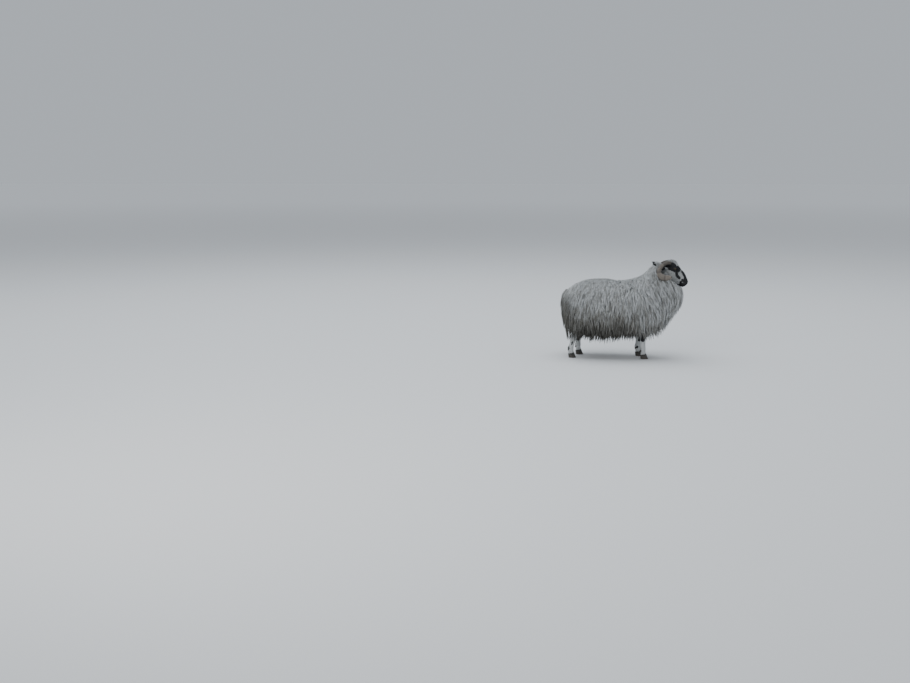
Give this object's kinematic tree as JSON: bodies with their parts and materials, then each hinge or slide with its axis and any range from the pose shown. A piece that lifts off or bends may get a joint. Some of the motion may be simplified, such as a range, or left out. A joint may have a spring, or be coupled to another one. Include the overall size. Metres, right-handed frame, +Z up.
{
  "type": "sheep",
  "caption": "Horned hill ewe in a long full fleece, standing in profile, life-size still model with curled horns.",
  "frame": {"origin": "on the ground under the middle of the ewe's box", "axes": "+X the way the ewe faces, +Y her left, +Z up"},
  "size_m": [1.0072, 0.4858, 0.7887],
  "materials": {
    "wool": "rough, long locks",
    "face_hair": "short hair",
    "dark_hair": "short hair",
    "leg_hair": "short hair",
    "horn": "ridged keratin, satin",
    "hoof": "keratin, satin",
    "eye": "wet gloss"
  },
  "bodies": {
    "root": {"claw_front_left_inner": "hoof", "claw_front_left_outer": "hoof", "claw_front_right_inner": "hoof", "claw_front_right_outer": "hoof", "claw_hind_left_inner": "hoof", "claw_hind_left_outer": "hoof", "claw_hind_right_inner": "hoof", "claw_hind_right_outer": "hoof", "dewclaw_front_left_inner": "hoof", "dewclaw_front_left_outer": "hoof", "dewclaw_front_right_inner": "hoof", "dewclaw_front_right_outer": "hoof", "dewclaw_hind_left_inner": "hoof", "dewclaw_hind_left_outer": "hoof", "dewclaw_hind_right_inner": "hoof", "dewclaw_hind_right_outer": "hoof", "ear_left": "dark_hair", "ear_right": "dark_hair", "eye_left": "eye", "eye_right": "eye", "head": "face_hair", "horn_left": "horn", "horn_right": "horn", "leg_front_left": "leg_hair", "leg_front_right": "leg_hair", "leg_hind_left": "leg_hair", "leg_hind_right": "leg_hair", "neck": "wool", "tail": "wool", "trunk": "wool"}
  },
  "joints": []
}
